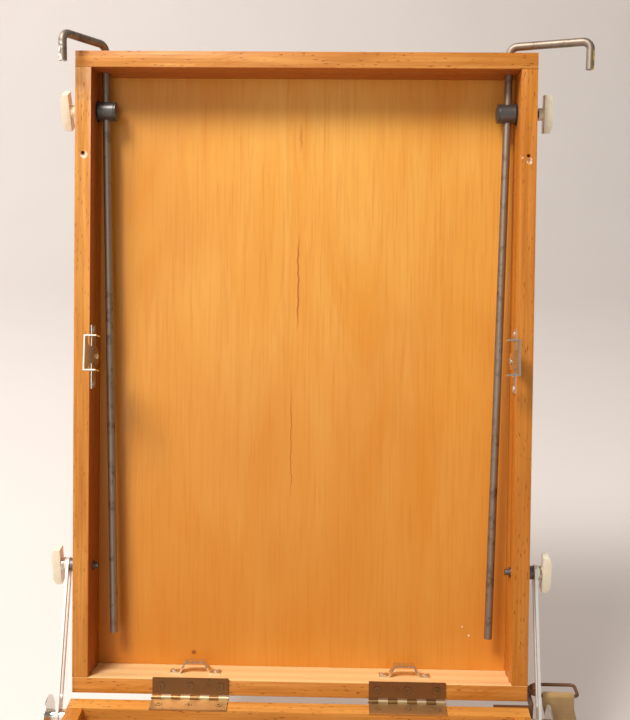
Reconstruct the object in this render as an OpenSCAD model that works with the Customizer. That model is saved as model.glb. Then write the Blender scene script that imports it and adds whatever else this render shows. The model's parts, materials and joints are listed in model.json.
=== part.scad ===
// French box easel: a shallow wooden box with a drawer, folding telescopic legs and a shoulder strap,
// and a hinged lid that stands up behind it and holds a canvas with two sliding hooked rods.
// World frame: +Z up, painter at -Y, origin on the ground under the middle of the box.

/* [Lid] */
// Outer width of the lid and of the box
lid_w = 400; // [330:5:480]
// Outer length of the lid, and so the depth of the box
lid_h = 560; // [460:5:680]
// Depth inside the lid, from its rim to the panel
lid_depth = 41; // [36:1:60]
// Thickness of the lid's rails
lid_wall = 14; // [12:0.5:18]
// Thickness of the back panel
panel_t = 4; // [3:0.5:6]
// Angle that the open lid leans back past upright
lean = 14; // [5:1:25]

/* [Box] */
// Height of the box's walls
box_h = 96; // [80:1:130]
// Thickness of the box's walls
box_wall = 14; // [12:0.5:18]
// Thickness of the box's bottom board
bottom_t = 6; // [4:0.5:10]
// Height of the runners that the box stands on
runner_h = 24; // [22:1:40]
// Width of each runner
runner_w = 20; // [14:1:30]

/* [Drawer] */
// Height of the drawer's sides
drawer_side_h = 58; // [40:1:60]
// Thickness of the drawer's sides and back
drawer_wall = 8; // [6:0.5:12]
// Thickness of the drawer's dividers
divider_t = 4; // [3:0.5:6]
// Width of the brush bay along the drawer's left side
brush_bay_w = 90; // [60:5:130]

/* [Hinges] */
// Length of each butt hinge
hinge_len = 67; // [50:1:80]
// Distance of each hinge's middle from the middle of the lid
hinge_x = 95; // [70:1:120]
// Width of a hinge leaf, from the pin's axis
leaf_w = 17; // [14:0.5:24]
// Thickness of a hinge leaf
leaf_t = 1.2; // [0.8:0.1:1.3]
// Outer radius of the hinge knuckles
knuckle_r = 2.2; // [2:0.1:2.3]
// Radius of the hinge pin
hinge_pin_r = 1.2; // [0.8:0.1:1.5]

/* [Rods] */
// Radius of a canvas rod
rod_r = 3.5; // [2.5:0.1:4]
// Height of the rods' free ends above the lid's bottom rail
rod_end_gap = 33.7; // [30:0.1:120]
// Distance of a rod's axis from the lid's inner side wall, at the top
rod_inset = 7; // [6:0.5:7]
// Angle that the rods lean together towards the bottom
rod_tilt = 1.2; // [0:0.1:2]
// Depth of the rods behind the lid's rim
rod_depth = 25; // [22:0.5:26]
// Length of the left hook's arm
left_arm_len = 52; // [46:1:60]
// Length of the right hook's arm
right_arm_len = 70; // [50:1:90]
// Length of a hook's down-turned tip
tip_len = 24; // [18:1:30]
// Way that the left hook points, in degrees round the rod from straight out to the left
left_hook_turn = 59; // [40:0.5:59]
// Way that the right hook points, in degrees round the rod from straight out to the right
right_hook_turn = 22; // [0:0.5:60]

/* [Rod clamps] */
// Distance of the clamp barrels below the lid's top
clamp_drop = 47.5; // [40:0.5:80]
// Radius of a clamp barrel
barrel_r = 8.5; // [7:0.5:10]
// Length of a clamp barrel
barrel_len = 17; // [15:0.5:20]
// Radius of the studs that carry the knobs
stud_r = 3; // [2.5:0.1:3.5]

/* [Knobs] */
// Length of a thumb knob
knob_len = 33; // [28:1:36]
// Width of a thumb knob
knob_w = 12; // [10:0.5:14]
// Thickness of a thumb knob along its stud
knob_t = 12; // [10:0.5:15]
// Thickness of a thumb knob's handle, past its round neck
knob_bar_t = 7.5; // [6:0.5:9]
// Turn of the left clamp knob from upright
left_knob_turn = 28; // [0:1:90]
// Turn of the right clamp knob from upright
right_knob_turn = 8; // [0:1:90]

/* [Lid stays] */
// Width of a slotted stay
stay_w = 14; // [12:0.5:14]
// Thickness of a stay
stay_t = 2.4; // [1.5:0.1:3]
// Width of the slot in a stay
slot_w = 6.4; // [6:0.1:7]
// Gap between the wall and a stay
stay_gap = 6.5; // [5:0.5:8]
// Distance of the stay bolt up the lid from the hinge axis
stay_bolt_up = 111; // [100:1:140]
// Depth of the stay bolt behind the hinge axis
stay_bolt_in = 20; // [12:1:24]
// Distance of the stay's lower pivot in front of the hinge axis
stay_pivot_front = 15.5; // [14:0.5:20]
// Distance of the stay's lower pivot below the hinge axis
stay_pivot_drop = 10.5; // [9:0.5:14]
// Radius of the round nut on the stay's lower pivot
disc_r = 18; // [12:0.5:18]

/* [Side clips] */
// Distance of the clip rivets up the lid from the hinge axis
clip_up = 298; // [280:1:330]
// Height of a clip's channel
clip_h = 30.5; // [22:0.5:32]
// Depth of a clip's channel
clip_d = 18; // [14:1:20]
// Reach of a clip from its rivet to its front edge
clip_reach = 45; // [34:1:45]
// Width of a clip's turned edges
clip_flange = 9.5; // [8:0.5:12]
// Sheet thickness of the clips and their plates
clip_t = 1.2; // [1:0.1:1.5]
// Angle that the clips point up from square to the lid
clip_rise = 6; // [0:1:30]

/* [Canvas rests] */
// Distance of each canvas rest from the middle of the lid
rest_x = 93.5; // [70:0.5:120]
// Height of a canvas rest
rest_h = 10.5; // [8:0.5:14]
// Width of a canvas rest at its base
rest_w = 29; // [24:1:36]
// Depth of a canvas rest
rest_d = 10; // [6:0.5:12]

/* [Legs] */
// Distance that the folded legs' feet stay short of the end of the box
leg_end_gap = 15; // [9:1:80]
// Width of a leg
leg_w = 38; // [34:1:38]
// Thickness of a leg
leg_t = 14; // [12:0.5:14]
// Thickness of each of the two slats of an upper leg
slat_t = 9; // [7:0.5:10]
// Radius of the pivots of the side legs
leg_pivot_r = 4; // [3:0.5:5]
// Radius of the pivot of the rear leg
rear_pivot_r = 3; // [2.5:0.5:3.5]
// Distance of the leg pivots from the end of the box
leg_pivot_in = 35; // [30:1:45]
// Radius of the round knobs that clamp the legs
leg_knob_r = 9; // [7:0.5:9]

/* [Shoulder strap] */
// Width of the strap
strap_w = 28; // [22:1:32]
// Thickness of the strap
strap_t = 2.4; // [1.6:0.1:3]
// Radius of the ring wire
wire_r = 1.5; // [1.2:0.1:2]

/* [Latches] */
// Distance of each latch from the middle of the box
latch_x = 115; // [90:1:140]
// Width of a latch
latch_w = 22; // [18:1:28]

/* [Hidden] */
$fn = 48;
fit = 0.05;                    // radial running clearance of a pin in its bore
loose = 0.3;                   // gap between pieces that slide or turn past each other
drill = 0.2;                   // radial clearance of a bolt in a plain drilled hole
axis_up = 1.5;                 // hinge axis above the box's rim
axis_back = 2.5;               // hinge axis behind the box's rear face
rim_back = 2;                  // lid's rim behind the hinge axis
lid_foot = 1.5;                // lid's lower edge above the hinge axis, along the lid
lid_over = 2.2;                // lid's length past the box's depth
knuckle_count = 8;
fingers = 5;                   // fingers in each corner joint
screw_r = 3.2;                 // head radius of the small wood screws
box_screw_r = 2.5;             // head radius of the screws in the box's hinge leaves
flat_head_up = 0.35;           // height of a sunk screw head above its plate
hinge_screws = [0.39, 0.58];   // outer screws along a leaf and all three across it, as shares
clip_clear = 0.7;              // gap between a side clip and its plate

lid_top = lid_foot + lid_h + lid_over;
lid_in = lid_w / 2 - lid_wall;
panel_at = rim_back + lid_depth;
lid_back = panel_at + panel_t;
lid_board_depth = lid_back - rim_back;
rail_top = lid_foot + lid_wall;
box_d = lid_h;
box_in = lid_w / 2 - box_wall;
rim_z = runner_h + box_h;
hinge_y = box_d / 2 + axis_back;
hinge_z = rim_z + axis_up;

rod_at = rim_back + rod_depth;
rod_x = lid_in - rod_inset;
rod_bend = 7;                  // bend radius of the hooks, to the wire's middle
rod_lift = rod_r + 0.5;        // start of the bend above the lid's top
rod_len = rod_lift + (lid_top - rail_top - rod_end_gap) / cos(rod_tilt);
clamp_up = lid_top - clamp_drop;
washer_t = 1.6;
stay_x = lid_w / 2 + stay_gap;
knob_x = stay_x + stay_t + loose;
disc_x = knob_x + 6.5;         // inner face of the round nuts
rod_knob_x = lid_w / 2 + 5;
clip_in = 16;                  // rivet behind the hinge axis
clip_plate_h = 56;
clip_plate_w = 16;
clip_plate_at = clip_in - 11;  // plate's front edge behind the hinge axis
rivet_r = 2;
rest_y = rim_back + 15;        // canvas rests behind the hinge axis
rest_slope = 5.4;              // inward run of a canvas rest's sides
rest_ear = 8.8;                // length of a canvas rest's ears

stay_bolt = [stay_bolt_up * sin(lean) + stay_bolt_in * cos(lean),
             stay_bolt_up * cos(lean) - stay_bolt_in * sin(lean)];
stay_run = [stay_bolt[0] + stay_pivot_front, stay_bolt[1] + stay_pivot_drop];
stay_len = norm(stay_run);
stay_angle = atan2(stay_run[1], stay_run[0]);

drawer_w = 2 * box_in - 2 * 0.6;
drawer_z = runner_h + bottom_t + loose;
drawer_front_t = 14;
drawer_back_y = box_d / 2 - box_wall - 4;
drawer_bottom_t = 4;
drawer_inner_y = -box_d / 2 + drawer_front_t;
divider_x = -drawer_w / 2 + drawer_wall + brush_bay_w;

leg_out = 20;                  // stub of the lower leg that shows beyond the upper one
leg_tip_len = 10;
leg_len = box_d - leg_pivot_in - leg_end_gap - leg_out - leg_tip_len;
leg_gap = leg_w - 2 * slat_t;
leg_x = lid_w / 2 + 2 + leg_t / 2;
leg_z = runner_h + 42;
leg_y = -box_d / 2 + leg_pivot_in;
rear_leg_z = runner_h - 3 - leg_t / 2;
rear_leg_y = box_d / 2 - leg_pivot_in;
leg_slide = leg_len - 80;      // travel of a lower leg
leg_bolt_at = leg_len - 18;
leg_foot_at = leg_len + leg_out;

ring_x = lid_w / 2 + 7;        // swing axis of the strap
ring_z = hinge_z + 6;
ring_size = [strap_w + 9, 17.5];
ring_bend = 3.5;
rear_ring_y = hinge_y + 4.5;
front_ring_y = -box_d / 2 + 90;
strap_x = ring_x + 6 + strap_w / 2;
strap_drift = 9;               // outward lean of the strap, past the folded leg
strap_floor = 3.2;
strap_drop = 92;               // height at which the strap starts to curve forward
strap_curve = 85;              // forward reach of each of its two curves
strap_steps = 10;

latch_z = rim_z - 8;
latch_y = box_d / 2 + 6;
strike_up = 37;                // strike above the latch pivot when the lid is closed
strike_at = latch_z + strike_up - hinge_z; // strike behind the hinge axis when the lid is open
latch_len = 44;
latch_pin_r = 1.5;
plate_t = 1.2;                 // sheet of the latches, leg plates and hinge screws' seats

// ---- helpers ----

// Box from one corner to the opposite one.
module block(a, b) { translate(a) cube(b - a); }

// Cylinder along +X from x = a to x = b.
module bar_x(r, a, b) { translate([a, 0, 0]) rotate([0, 90, 0]) cylinder(r = r, h = b - a); }

// Cylinder along +Y from y = a to y = b.
module bar_y(r, a, b) { translate([0, a, 0]) rotate([-90, 0, 0]) cylinder(r = r, h = b - a); }

// Level rectangular loop of round wire with rounded corners; its inner side runs along Y at x = 0.
module wire_loop(size, bend, r) {
  for (y = [0, size[1]]) translate([0, y, 0]) bar_x(r, bend, size[0] - bend);
  for (x = [0, size[0]]) translate([x, 0, 0]) bar_y(r, bend, size[1] - bend);
  for (corner = [[bend, bend, 180], [size[0] - bend, bend, 270],
                 [size[0] - bend, size[1] - bend, 0], [bend, size[1] - bend, 90]])
    translate([corner[0], corner[1], 0]) rotate([0, 0, corner[2]])
      rotate_extrude(angle = 90) translate([bend, 0]) circle(r = r);
}

// Puts a piece drawn on the right on the side asked for: 1 is right, -1 is left.
module on_side(side) { if (side > 0) children(); else mirror([1, 0, 0]) children(); }

// The lid's own frame: Z runs up the lid from the hinge axis and Y into its depth.
module lid_frame() { translate([0, hinge_y, hinge_z]) rotate([-lean, 0, 0]) children(); }

// A rod's own frame, at the lid's top, with Z up along the rod.
module rod_frame() { translate([rod_x, rod_at, lid_top]) rotate([0, rod_tilt, 0]) children(); }

// Domed screw head that stands on z = 0, with a cross in it.
module screw_head(r) {
  difference() {
    intersection() {
      cylinder(r = r, h = r);
      translate([0, 0, -1.2 * r]) sphere(r = 1.62 * r);
    }
    for (turn = [0, 90])
      rotate([0, 0, turn]) translate([-0.6 * r, -0.13 * r, 0.22 * r]) cube([1.2 * r, 0.26 * r, r]);
  }
}

// Flat screw head with a cross in it: its top stands flat_head_up above z = 0 and it goes deep below.
module sunk_head(r, deep) difference() {
  translate([0, 0, -deep]) cylinder(r = r, h = deep + flat_head_up);
  for (turn = [0, 90])
    rotate([0, 0, turn]) translate([-0.6 * r, -0.16 * r, flat_head_up - (deep + flat_head_up) * 0.7])
      cube([1.2 * r, 0.32 * r, r]);
}

// The fingers of a corner joint: every second slice of the depth, starting with the first or second.
module finger_slices(depth, first) {
  slice = depth / fingers;
  for (i = [first : 2 : fingers - 1])
    translate([-1000, i * slice, -1000]) cube([2000, slice, 2000]);
}

// ---- lid ----

module lid_side(side) color("peru") lid_frame() on_side(side) difference() {
  block([lid_in, rim_back, lid_foot], [lid_w / 2, lid_back, lid_top]);
  block([lid_in - 1, panel_at, lid_foot - 1], [lid_in + lid_wall / 2, lid_back + 1, lid_top + 1]);
  // slots for the fingers of the top and bottom rails
  translate([0, rim_back, 0]) intersection() {
    finger_slices(lid_board_depth, 0);
    union() {
      block([lid_in - 1, -1, lid_foot - 1], [lid_w, lid_board_depth + 1, rail_top]);
      block([lid_in - 1, -1, lid_top - lid_wall], [lid_w, lid_board_depth + 1, lid_top + 1]);
    }
  }
  translate([0, rod_at, clamp_up]) bar_x(stud_r + drill, lid_in - 1, lid_w);
  translate([0, stay_bolt_in, stay_bolt_up]) bar_x(stud_r + drill, lid_in - 1, lid_w);
  // pilot hole in the rim, left by an older catch
  translate([lid_w / 2 - 7, 0, lid_top - 88]) bar_y(1.6, 0, rim_back + 8);
}

// Rail across the lid between two heights, with its fingers.
module lid_rail(low, high) difference() {
  union() {
    block([-lid_in, rim_back, low], [lid_in, lid_back, high]);
    intersection() {
      block([-lid_w / 2, rim_back, low], [lid_w / 2, lid_back, high]);
      translate([0, rim_back, 0]) finger_slices(lid_board_depth, 0);
    }
  }
  // rabbet for the panel
  block([-lid_in - lid_wall / 2, panel_at, low + (low == lid_foot ? lid_wall / 2 : -1)],
        [lid_in + lid_wall / 2, lid_back + 1, high + (low == lid_foot ? 1 : -lid_wall / 2)]);
}

module lid_top_rail() color("peru") lid_frame() difference() {
  lid_rail(lid_top - lid_wall, lid_top);
  for (side = [1, -1]) on_side(side) rod_frame() cylinder(r = rod_r + 2 * loose, h = 100, center = true);
}

module lid_bottom_rail() color("peru") lid_frame() lid_rail(lid_foot, rail_top);

module lid_panel() color("sandybrown") lid_frame()
  block([-lid_in - lid_wall / 2, panel_at, lid_foot + lid_wall / 2],
        [lid_in + lid_wall / 2, lid_back, lid_top - lid_wall / 2]);

// One leaf of a butt hinge in the lid's frame, from the knuckles up; first is 0 or 1.
module hinge_leaf(first) {
  knuckle = hinge_len / knuckle_count;
  difference() {
    union() {
      block([-hinge_len / 2, rim_back - leaf_t, knuckle_r + 0.5], [hinge_len / 2, rim_back, leaf_w]);
      for (i = [first : 2 : knuckle_count - 1]) translate([-hinge_len / 2 + i * knuckle, 0, 0]) {
        bar_x(knuckle_r, 0.1, knuckle - 0.1);
        block([0.1, rim_back - leaf_t, 0], [knuckle - 0.1, rim_back, knuckle_r + 1]);
      }
    }
    bar_x(hinge_pin_r + fit, -hinge_len, hinge_len);
    leaf_screw_places() translate([0, 0, leaf_w * hinge_screws[1]]) bar_y(screw_r + loose, 0, rim_back + 1);
  }
}

module lid_hinge_leaves() color("darkgoldenrod") lid_frame()
  for (x = [-hinge_x, hinge_x]) translate([x, 0, 0]) hinge_leaf(0);

// Places along one hinge leaf for its three screws.
module leaf_screw_places() for (i = [-1 : 1]) translate([i * hinge_len * hinge_screws[0], 0, 0]) children();

// The same for both hinges.
module hinge_screw_places() for (x = [-hinge_x, hinge_x]) translate([x, 0, 0]) leaf_screw_places() children();

module lid_screws() color("darkgoldenrod") lid_frame() {
  hinge_screw_places() translate([0, rim_back - leaf_t, leaf_w * hinge_screws[1]])
    rotate([90, 0, 0]) sunk_head(screw_r, leaf_t);
  for (x = [-rest_x, rest_x]) for (ear = [-1, 1])
    translate([x + ear * (rest_w / 2 + rest_ear / 2), rest_y + rest_d / 2, rail_top + clip_t])
      screw_head(screw_r);
  for (side = [1, -1]) on_side(side) for (up = [-1, 1])
    translate([lid_in - clip_t, clip_plate_at + clip_plate_w / 2, clip_up + up * (clip_plate_h / 2 - 4)])
      rotate([0, -90, 0]) sunk_head(screw_r, 0);
}

// Profile of a canvas rest, drawn in from its sides and top, with its base at the given height.
module rest_profile(side, base, top) {
  foot = rest_w / 2 - side;
  head = rest_w / 2 - rest_slope - side;
  polygon([[-foot, base], [foot, base], [head, rest_h - top], [-head, rest_h - top]]);
}

// Hat-shaped strap on the bottom rail that the canvas stands on.
module canvas_rests() color("silver") lid_frame() for (x = [-rest_x, rest_x])
  translate([x, rest_y, rail_top]) {
    difference() {
      rotate([90, 0, 0]) mirror([0, 0, 1]) linear_extrude(rest_d)
        rest_profile(0, 0, 0);
      translate([0, -1, 0]) rotate([90, 0, 0]) mirror([0, 0, 1]) linear_extrude(rest_d + 2)
        rest_profile(clip_t, -1, clip_t);
    }
    for (ear = [-1, 1]) translate([ear * (rest_w / 2 + rest_ear / 2 - 0.6), rest_d / 2, clip_t / 2])
      cube([rest_ear, rest_d, clip_t], center = true);
  }

// Plate with the rivet that a side clip turns on.
module clip_plates() color("silver") lid_frame() for (side = [1, -1]) on_side(side) {
  block([lid_in - clip_t, clip_plate_at, clip_up - clip_plate_h / 2],
        [lid_in, clip_plate_at + clip_plate_w, clip_up + clip_plate_h / 2]);
  translate([0, clip_in, clip_up]) {
    bar_x(rivet_r, lid_in - 2 * clip_t - clip_clear - loose - 0.2, lid_in - clip_t);
    translate([lid_in - 2 * clip_t - clip_clear - loose, 0, 0]) rotate([0, -90, 0]) intersection() {
      cylinder(r = 3.3, h = 2);
      translate([0, 0, -2.4]) sphere(r = 4.1);
    }
  }
}

// Channel that swings on the rivet and grips the edge of a panel or palette.
module side_clip(side) color("silver") lid_frame() on_side(side)
  translate([lid_in - 2 * clip_t - clip_clear, clip_in, clip_up]) rotate([-clip_rise, 0, 0]) {
    difference() {
      union() {
        bar_x(7.5, 0, clip_t);
        block([0, -clip_reach + clip_d / 2, -7.5], [clip_t, 0, 7.5]);
        block([0, -clip_reach, -clip_h / 2], [clip_t, -clip_reach + clip_d, clip_h / 2]);
      }
      bar_x(rivet_r + fit, -1, clip_t + 1);
      for (hole = [[clip_reach - clip_d + 1.5, clip_h / 2 - 1, 7], [clip_reach - clip_d, -clip_h / 2 + 1, 4.2]])
        translate([0, -hole[0], hole[1]]) bar_x(hole[2], -1, clip_t + 1);
    }
    for (up = [-1, 1]) mirror([0, 0, up > 0 ? 0 : 1])
      block([-clip_flange, -clip_reach, clip_h / 2 - clip_t], [clip_t, -clip_reach + clip_d - 4, clip_h / 2]);
  }

// Bolt through the lid's wall, with a star washer and a spacer that keeps the stay off the wood.
// It stops short of the stay: the stay's slot is the open pivot of the linkage.
module stay_bolts() color("gray") lid_frame() for (side = [1, -1]) on_side(side)
  translate([0, stay_bolt_in, stay_bolt_up]) {
    bar_x(2.7, lid_in - 5, lid_in - 1);
    bar_x(4.4, lid_in - 1, lid_in);
    bar_x(stud_r, lid_in - 1, stay_x - loose);
    bar_x(6, lid_w / 2, stay_x - loose);
  }

module latch_strikes() color("silver") lid_frame() for (x = [-latch_x, latch_x])
  translate([x, strike_at, lid_top]) {
    block([-latch_w / 2, -8, 0], [latch_w / 2, 8, plate_t]);
    cylinder(r = 2.5, h = 6);
  }

// ---- rods and their clamps ----

module clamp_barrel(side) color("slategray") lid_frame() on_side(side) difference() {
  translate([0, rod_at, clamp_up]) {
    bar_x(stud_r, lid_in - washer_t - 1, lid_w / 2 + 13.5);
    bar_x(barrel_r - 0.5, lid_in - washer_t, lid_in);
    translate([lid_in - washer_t, 0, 0]) rotate([0, -90, 0]) difference() {
      intersection() {
        cylinder(r = barrel_r, h = barrel_len);
        translate([0, 0, barrel_len - 22]) sphere(r = 22);
      }
      translate([0, 0, barrel_len - 3]) rotate_extrude() translate([barrel_r, 0]) circle(r = 0.5, $fn = 24);
    }
  }
  rod_frame() cylinder(r = rod_r + fit, h = 200, center = true);
}

// Quarter bend of round wire that leads from +Z to +X.
module quarter_bend(bend, r) translate([bend, 0, 0]) rotate([90, 0, 0])
  rotate([0, 0, 90]) rotate_extrude(angle = 90) translate([bend, 0]) circle(r = r);

module rod(side, turn, arm_len) color("dimgray") lid_frame() on_side(side) rod_frame() rotate([0, 0, -turn]) {
  translate([0, 0, rod_lift - rod_len]) cylinder(r = rod_r, h = rod_len);
  translate([0, 0, rod_lift]) {
    quarter_bend(rod_bend, rod_r);
    translate([rod_bend, 0, rod_bend]) rotate([0, 90, 0]) cylinder(r = rod_r, h = arm_len - 2 * rod_bend);
    translate([arm_len, 0, 0]) mirror([1, 0, 0]) quarter_bend(rod_bend, rod_r);
    translate([arm_len, 0, rod_bend - tip_len]) cylinder(r = rod_r, h = tip_len - rod_bend);
  }
}

// Oblong thumb knob: its neck stands on x = 0 and its handle runs along Z.
module thumb_knob(bore) difference() {
  back = knob_t - knob_bar_t;
  union() {
    bar_x(5.5, 0, back + 1);
    translate([0, knob_w / 2, 0]) rotate([90, 0, 0]) linear_extrude(knob_w)
      polygon([[back, -knob_len / 2], [knob_t - 2.2, -knob_len / 2], [knob_t, -knob_len / 2 + 5],
               [knob_t, knob_len / 2 - 5], [knob_t - 2.2, knob_len / 2], [back, knob_len / 2]]);
  }
  if (bore > 0) bar_x(bore, -1, knob_t - 2.5);
}

module rod_knob(side, turn) color("ivory") lid_frame() on_side(side)
  translate([rod_knob_x, rod_at, clamp_up]) rotate([turn, 0, 0]) thumb_knob(stud_r + fit);

module stay_knob(side) color("ivory") lid_frame() on_side(side)
  translate([knob_x, stay_bolt_in, stay_bolt_up]) rotate([lean, 0, 0]) {
    thumb_knob(0);
    bar_x(6.5, 0, 1);
  }

// ---- stays ----

// Slotted bar from the pivot on the box to the bolt on the lid.
module stay(side) color("silver") on_side(side)
  translate([stay_x, hinge_y - stay_pivot_front, hinge_z - stay_pivot_drop]) rotate([stay_angle - 90, 0, 0])
    difference() {
      union() {
        bar_x(stay_w / 2, 0, stay_t);
        block([0, -stay_w / 2, 0], [stay_t, stay_w / 2, stay_len]);
        translate([0, 0, stay_len]) bar_x(stay_w / 2, 0, stay_t);
      }
      bar_x(stud_r + fit, -1, stay_t + 1);
      translate([0, 0, 18]) bar_x(slot_w / 2, -1, stay_t + 1);
      block([-1, -slot_w / 2, 18], [stay_t + 1, slot_w / 2, stay_len]);
      translate([0, 0, stay_len]) bar_x(slot_w / 2, -1, stay_t + 1);
    }

// Bolt in the box's side, its spacer and the round nut outside the stay.
module stay_pivots() color("silver") for (side = [1, -1]) on_side(side)
  translate([0, hinge_y - stay_pivot_front, hinge_z - stay_pivot_drop]) {
    bar_x(stud_r, box_in + 3, disc_x);
    bar_x(6, lid_w / 2, stay_x - loose);
    bar_x(6, knob_x, disc_x);
    translate([disc_x, 0, 0]) rotate([0, 90, 0]) intersection() {
      cylinder(r = disc_r, h = 3.6);
      translate([0, 0, 3.6 - 62]) sphere(r = 62, $fn = 96);
    }
  }

// ---- box ----

module box_side(side) color("peru") on_side(side) difference() {
  block([box_in, -box_d / 2, runner_h], [lid_w / 2, box_d / 2, rim_z]);
  translate([0, 0, runner_h]) intersection() {
    box_fingers(0);
    block([box_in - 1, box_d / 2 - box_wall, -1], [lid_w, box_d, box_h + 1]);
  }
  translate([0, hinge_y - stay_pivot_front, hinge_z - stay_pivot_drop]) bar_x(stud_r + drill, box_in + 2, lid_w);
}

// Fingers of the box's rear corners: every second slice of its height.
module box_fingers(first) for (i = [first : 2 : fingers - 1])
  translate([-1000, -1000, i * box_h / fingers]) cube([2000, 2000, box_h / fingers]);

module box_rear_wall() color("peru") {
  block([-box_in, box_d / 2 - box_wall, runner_h], [box_in, box_d / 2, rim_z]);
  intersection() {
    block([-lid_w / 2, box_d / 2 - box_wall, runner_h], [lid_w / 2, box_d / 2, rim_z]);
    translate([0, 0, runner_h]) box_fingers(0);
    for (side = [1, -1]) on_side(side) difference() {
      block([box_in, 0, 0], [lid_w / 2, box_d, rim_z]);
      translate([0, hinge_y - stay_pivot_front, hinge_z - stay_pivot_drop])
        bar_x(stud_r + drill, box_in + 2, lid_w);
    }
  }
}

module box_bottom() color("burlywood")
  block([-box_in, -box_d / 2, runner_h], [box_in, box_d / 2 - box_wall, runner_h + bottom_t]);

module box_runners() color("peru") for (x = [-1, 1])
  translate([x * (lid_w / 2 - 55) - runner_w / 2, -box_d / 2 + 40, 0]) cube([runner_w, box_d - 80, runner_h]);

module box_hinge_leaves() color("gold") translate([0, hinge_y, hinge_z]) {
  for (x = [-hinge_x, hinge_x]) translate([x, 0, 0]) box_leaf();
}

// Leaf that lies on the rim, with the knuckles that the lid's leaf leaves free.
module box_leaf() {
  knuckle = hinge_len / knuckle_count;
  difference() {
    union() {
      block([-hinge_len / 2, -leaf_w, -axis_up], [hinge_len / 2, -knuckle_r - 0.5, leaf_t - axis_up]);
      for (i = [1 : 2 : knuckle_count - 1]) translate([-hinge_len / 2 + i * knuckle, 0, 0]) {
        bar_x(knuckle_r, 0.1, knuckle - 0.1);
        block([0.1, -knuckle_r - 1, -axis_up], [knuckle - 0.1, 0, leaf_t - axis_up]);
      }
    }
    bar_x(hinge_pin_r + fit, -hinge_len, hinge_len);
    leaf_screw_places() translate([0, -leaf_w * hinge_screws[1], -axis_up - 1])
      cylinder(r = box_screw_r + loose, h = leaf_t + 2);
  }
}

module hinge_pins() color("goldenrod") translate([0, hinge_y, hinge_z])
  for (x = [-hinge_x, hinge_x]) translate([x, 0, 0]) {
    bar_x(hinge_pin_r, -hinge_len / 2 - 0.6, hinge_len / 2 + 0.6);
    for (side = [1, -1]) on_side(side) bar_x(knuckle_r * 0.8, hinge_len / 2, hinge_len / 2 + 0.8);
  }

module box_screws() color("gold") {
  hinge_screw_places() translate([0, hinge_y - leaf_w * hinge_screws[1], rim_z + leaf_t])
    sunk_head(box_screw_r, leaf_t);
  for (side = [1, -1]) on_side(side) for (corner = [[-1, -1], [-1, 1], [1, -1], [1, 1]])
    translate([lid_w / 2 + plate_t, leg_y + corner[0] * 16, leg_z + corner[1] * 16])
      rotate([0, 90, 0]) sunk_head(box_screw_r, 0);
}

// Plate, pivot bolt and cap of each side leg, and the fork and pin of the rear leg.
module leg_brackets() color("silver") {
  for (side = [1, -1]) on_side(side) translate([0, leg_y, leg_z]) {
    block([lid_w / 2, -20, -20], [lid_w / 2 + plate_t, 20, 20]);
    bar_x(7, lid_w / 2, leg_x - leg_t / 2 - loose);
    bar_x(leg_pivot_r, lid_w / 2, leg_x + leg_t / 2 + 1);
    translate([leg_x + leg_t / 2 + loose, 0, 0]) rotate([0, 90, 0]) intersection() {
      cylinder(r = 8, h = 3.4);
      translate([0, 0, -8]) sphere(r = 11.4);
    }
  }
  translate([0, rear_leg_y, 0]) {
    block([-leg_w / 2 - 2.3, -13, runner_h - 1.5], [leg_w / 2 + 2.3, 13, runner_h]);
    for (side = [1, -1]) on_side(side) {
      block([leg_w / 2 + 0.5, -8, rear_leg_z - 6], [leg_w / 2 + 2.3, 8, runner_h]);
      translate([0, 0, rear_leg_z]) bar_x(5, leg_w / 2 + 2.3, leg_w / 2 + 4);
    }
    translate([0, 0, rear_leg_z]) bar_x(rear_pivot_r, -leg_w / 2 - 3, leg_w / 2 + 3);
  }
}

// ---- drawer ----

module drawer_front() color("peru")
  block([-drawer_w / 2, -box_d / 2, drawer_z], [drawer_w / 2, drawer_inner_y, rim_z - 0.5]);

module drawer_sides() color("burlywood") for (side = [1, -1]) on_side(side)
  block([drawer_w / 2 - drawer_wall, drawer_inner_y, drawer_z],
        [drawer_w / 2, drawer_back_y, drawer_z + drawer_side_h]);

module drawer_back() color("burlywood")
  block([-drawer_w / 2 + drawer_wall, drawer_back_y - drawer_wall, drawer_z],
        [drawer_w / 2 - drawer_wall, drawer_back_y, drawer_z + drawer_side_h]);

module drawer_bottom() color("wheat")
  block([-drawer_w / 2 + drawer_wall, drawer_inner_y, drawer_z],
        [drawer_w / 2 - drawer_wall, drawer_back_y - drawer_wall, drawer_z + drawer_bottom_t]);

module drawer_dividers() color("burlywood") {
  low = drawer_z + drawer_bottom_t;
  high = drawer_z + drawer_side_h - 8;
  block([divider_x, drawer_inner_y, low], [divider_x + divider_t, drawer_back_y - drawer_wall, high]);
  for (part = [1 / 3, 2 / 3]) {
    y = drawer_inner_y + part * (drawer_back_y - drawer_wall - drawer_inner_y);
    block([divider_x + divider_t, y, low], [drawer_w / 2 - drawer_wall, y + divider_t, high]);
  }
}

module drawer_pull() color("silver") translate([0, -box_d / 2, runner_h + box_h / 2]) rotate([90, 0, 0])
  rotate_extrude() polygon([[0, 0], [7, 0], [7, 2], [4, 5], [5, 9], [11, 12], [11, 15], [8, 17.5], [0, 18]]);

// ---- latches ----

// Base plate with two ears and the pin that the hasp turns on.
module latch_bases() color("silver") for (x = [-latch_x, latch_x]) translate([x, 0, latch_z]) {
  block([-latch_w / 2, -box_d / 2 - plate_t, -latch_len - 4], [latch_w / 2, -box_d / 2, 5]);
  for (side = [-1, 1]) translate([side * (latch_w / 2 - 1), -box_d / 2, 0]) {
    translate([-1, -6, -3]) cube([2, 6, 6]);
    translate([0, -6, 0]) bar_x(3, -1, 1);
  }
  translate([0, -latch_y, 0]) bar_x(latch_pin_r, -latch_w / 2 + 0.5, latch_w / 2 - 0.5);
}

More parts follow.
